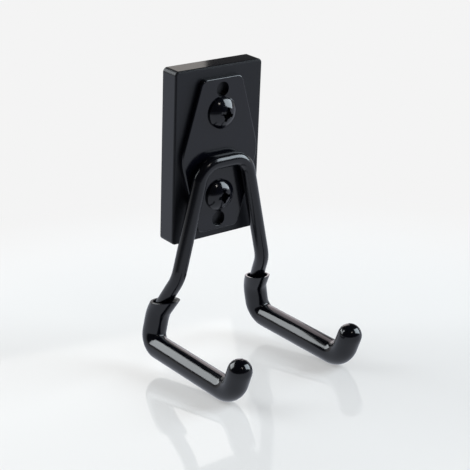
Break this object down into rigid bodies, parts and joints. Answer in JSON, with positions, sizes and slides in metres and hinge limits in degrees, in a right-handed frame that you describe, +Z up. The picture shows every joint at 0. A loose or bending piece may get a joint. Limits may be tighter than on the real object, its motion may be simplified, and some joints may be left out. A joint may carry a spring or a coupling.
{
  "type": "magnetic tool holder",
  "caption": "Flat block magnet with a screwed-on steel plate and a bent rod hook whose padded prongs carry a tool.",
  "frame": {"origin": "centre of the magnet block's flat back, which is the face that grips the wall", "axes": "+Y into the wall, -Y out to the user, +Z up, +X to the right as seen from the front"},
  "size_m": [0.0732, 0.0764, 0.1334],
  "materials": {
    "case_plastic": "satin black moulded plastic",
    "cover_plastic": "matt black moulded plastic",
    "yoke_steel": "bright zinc plated steel",
    "bush_steel": "bright zinc plated steel",
    "magnet_ferrite": "dark grey sintered magnet",
    "plate_paint": "satin black powder coat",
    "rod_paint": "semi-gloss black powder coat",
    "screw_black": "gloss black plated steel",
    "grip_vinyl": "gloss black soft vinyl"
  },
  "bodies": {
    "root": {"magnet_case": "case_plastic", "rear_cover": "cover_plastic", "yoke_plate": "yoke_steel", "upper_threaded_bush": "bush_steel", "lower_threaded_bush": "bush_steel", "mounting_plate": "plate_paint", "hook_rod": "rod_paint", "upper_screw": "screw_black", "lower_screw": "screw_black", "left_grip": "grip_vinyl", "right_grip": "grip_vinyl", "top_left_magnet": "magnet_ferrite", "top_right_magnet": "magnet_ferrite", "middle_left_magnet": "magnet_ferrite", "middle_right_magnet": "magnet_ferrite", "bottom_left_magnet": "magnet_ferrite", "bottom_right_magnet": "magnet_ferrite"}
  },
  "joints": []
}
